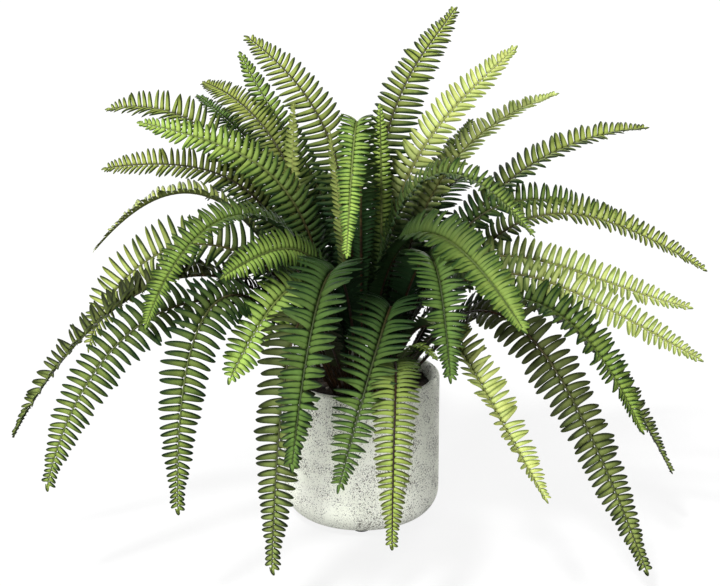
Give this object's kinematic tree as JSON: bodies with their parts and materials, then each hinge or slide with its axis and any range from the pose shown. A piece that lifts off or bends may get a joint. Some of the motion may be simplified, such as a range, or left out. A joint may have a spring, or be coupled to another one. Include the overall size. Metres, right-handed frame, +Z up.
{
  "type": "potted fern",
  "caption": "Arching sword fern growing in a round speckled pot with a rounded lip and base, filled with dark soil and standing on small pads.",
  "frame": {"origin": "on the floor under the pot's axis, which is within 4 mm of the middle of the whole plant's box", "axes": "+Z up, +X along the plant's widest spread, -Y the side that the picture shows"},
  "size_m": [0.6785, 0.5858, 0.4943],
  "materials": {
    "pot": "matte off-white stoneware with dense small dark speckles",
    "soil": "rough, moist, nearly black potting mix",
    "pad": "matte black",
    "frond_deep": "deep green leaf, half gloss above and paler below",
    "frond_mid": "mid green leaf, half gloss above and paler below",
    "frond_light": "yellow-green young leaf, soft gloss, lets light through"
  },
  "bodies": {
    "root": {"pot": "pot", "soil": "soil", "pad_1": "pad", "pad_2": "pad", "pad_3": "pad", "pad_4": "pad", "frond_01": "frond_mid", "frond_02": "frond_deep", "frond_03": "frond_mid", "frond_04": "frond_deep", "frond_05": "frond_mid", "frond_06": "frond_mid", "frond_07": "frond_light", "frond_08": "frond_deep", "frond_09": "frond_light", "frond_10": "frond_deep", "frond_11": "frond_mid", "frond_12": "frond_mid", "frond_13": "frond_mid", "frond_14": "frond_mid", "frond_15": "frond_light", "frond_16": "frond_light", "frond_17": "frond_light", "frond_18": "frond_mid", "frond_19": "frond_mid", "frond_20": "frond_light", "frond_21": "frond_mid", "frond_22": "frond_mid", "frond_23": "frond_mid", "frond_24": "frond_mid", "frond_25": "frond_light", "frond_26": "frond_light", "frond_27": "frond_mid", "frond_28": "frond_deep", "frond_29": "frond_deep", "frond_30": "frond_deep", "frond_31": "frond_mid", "frond_32": "frond_light", "frond_33": "frond_deep", "frond_34": "frond_deep", "frond_35": "frond_light", "frond_36": "frond_light", "frond_37": "frond_mid", "frond_38": "frond_deep", "frond_39": "frond_light", "frond_40": "frond_mid", "frond_41": "frond_deep", "frond_42": "frond_mid", "frond_43": "frond_mid", "frond_44": "frond_deep", "frond_45": "frond_mid", "frond_46": "frond_deep", "frond_47": "frond_mid", "frond_48": "frond_deep", "frond_49": "frond_mid", "frond_50": "frond_deep", "frond_51": "frond_deep", "frond_52": "frond_deep"}
  },
  "joints": []
}
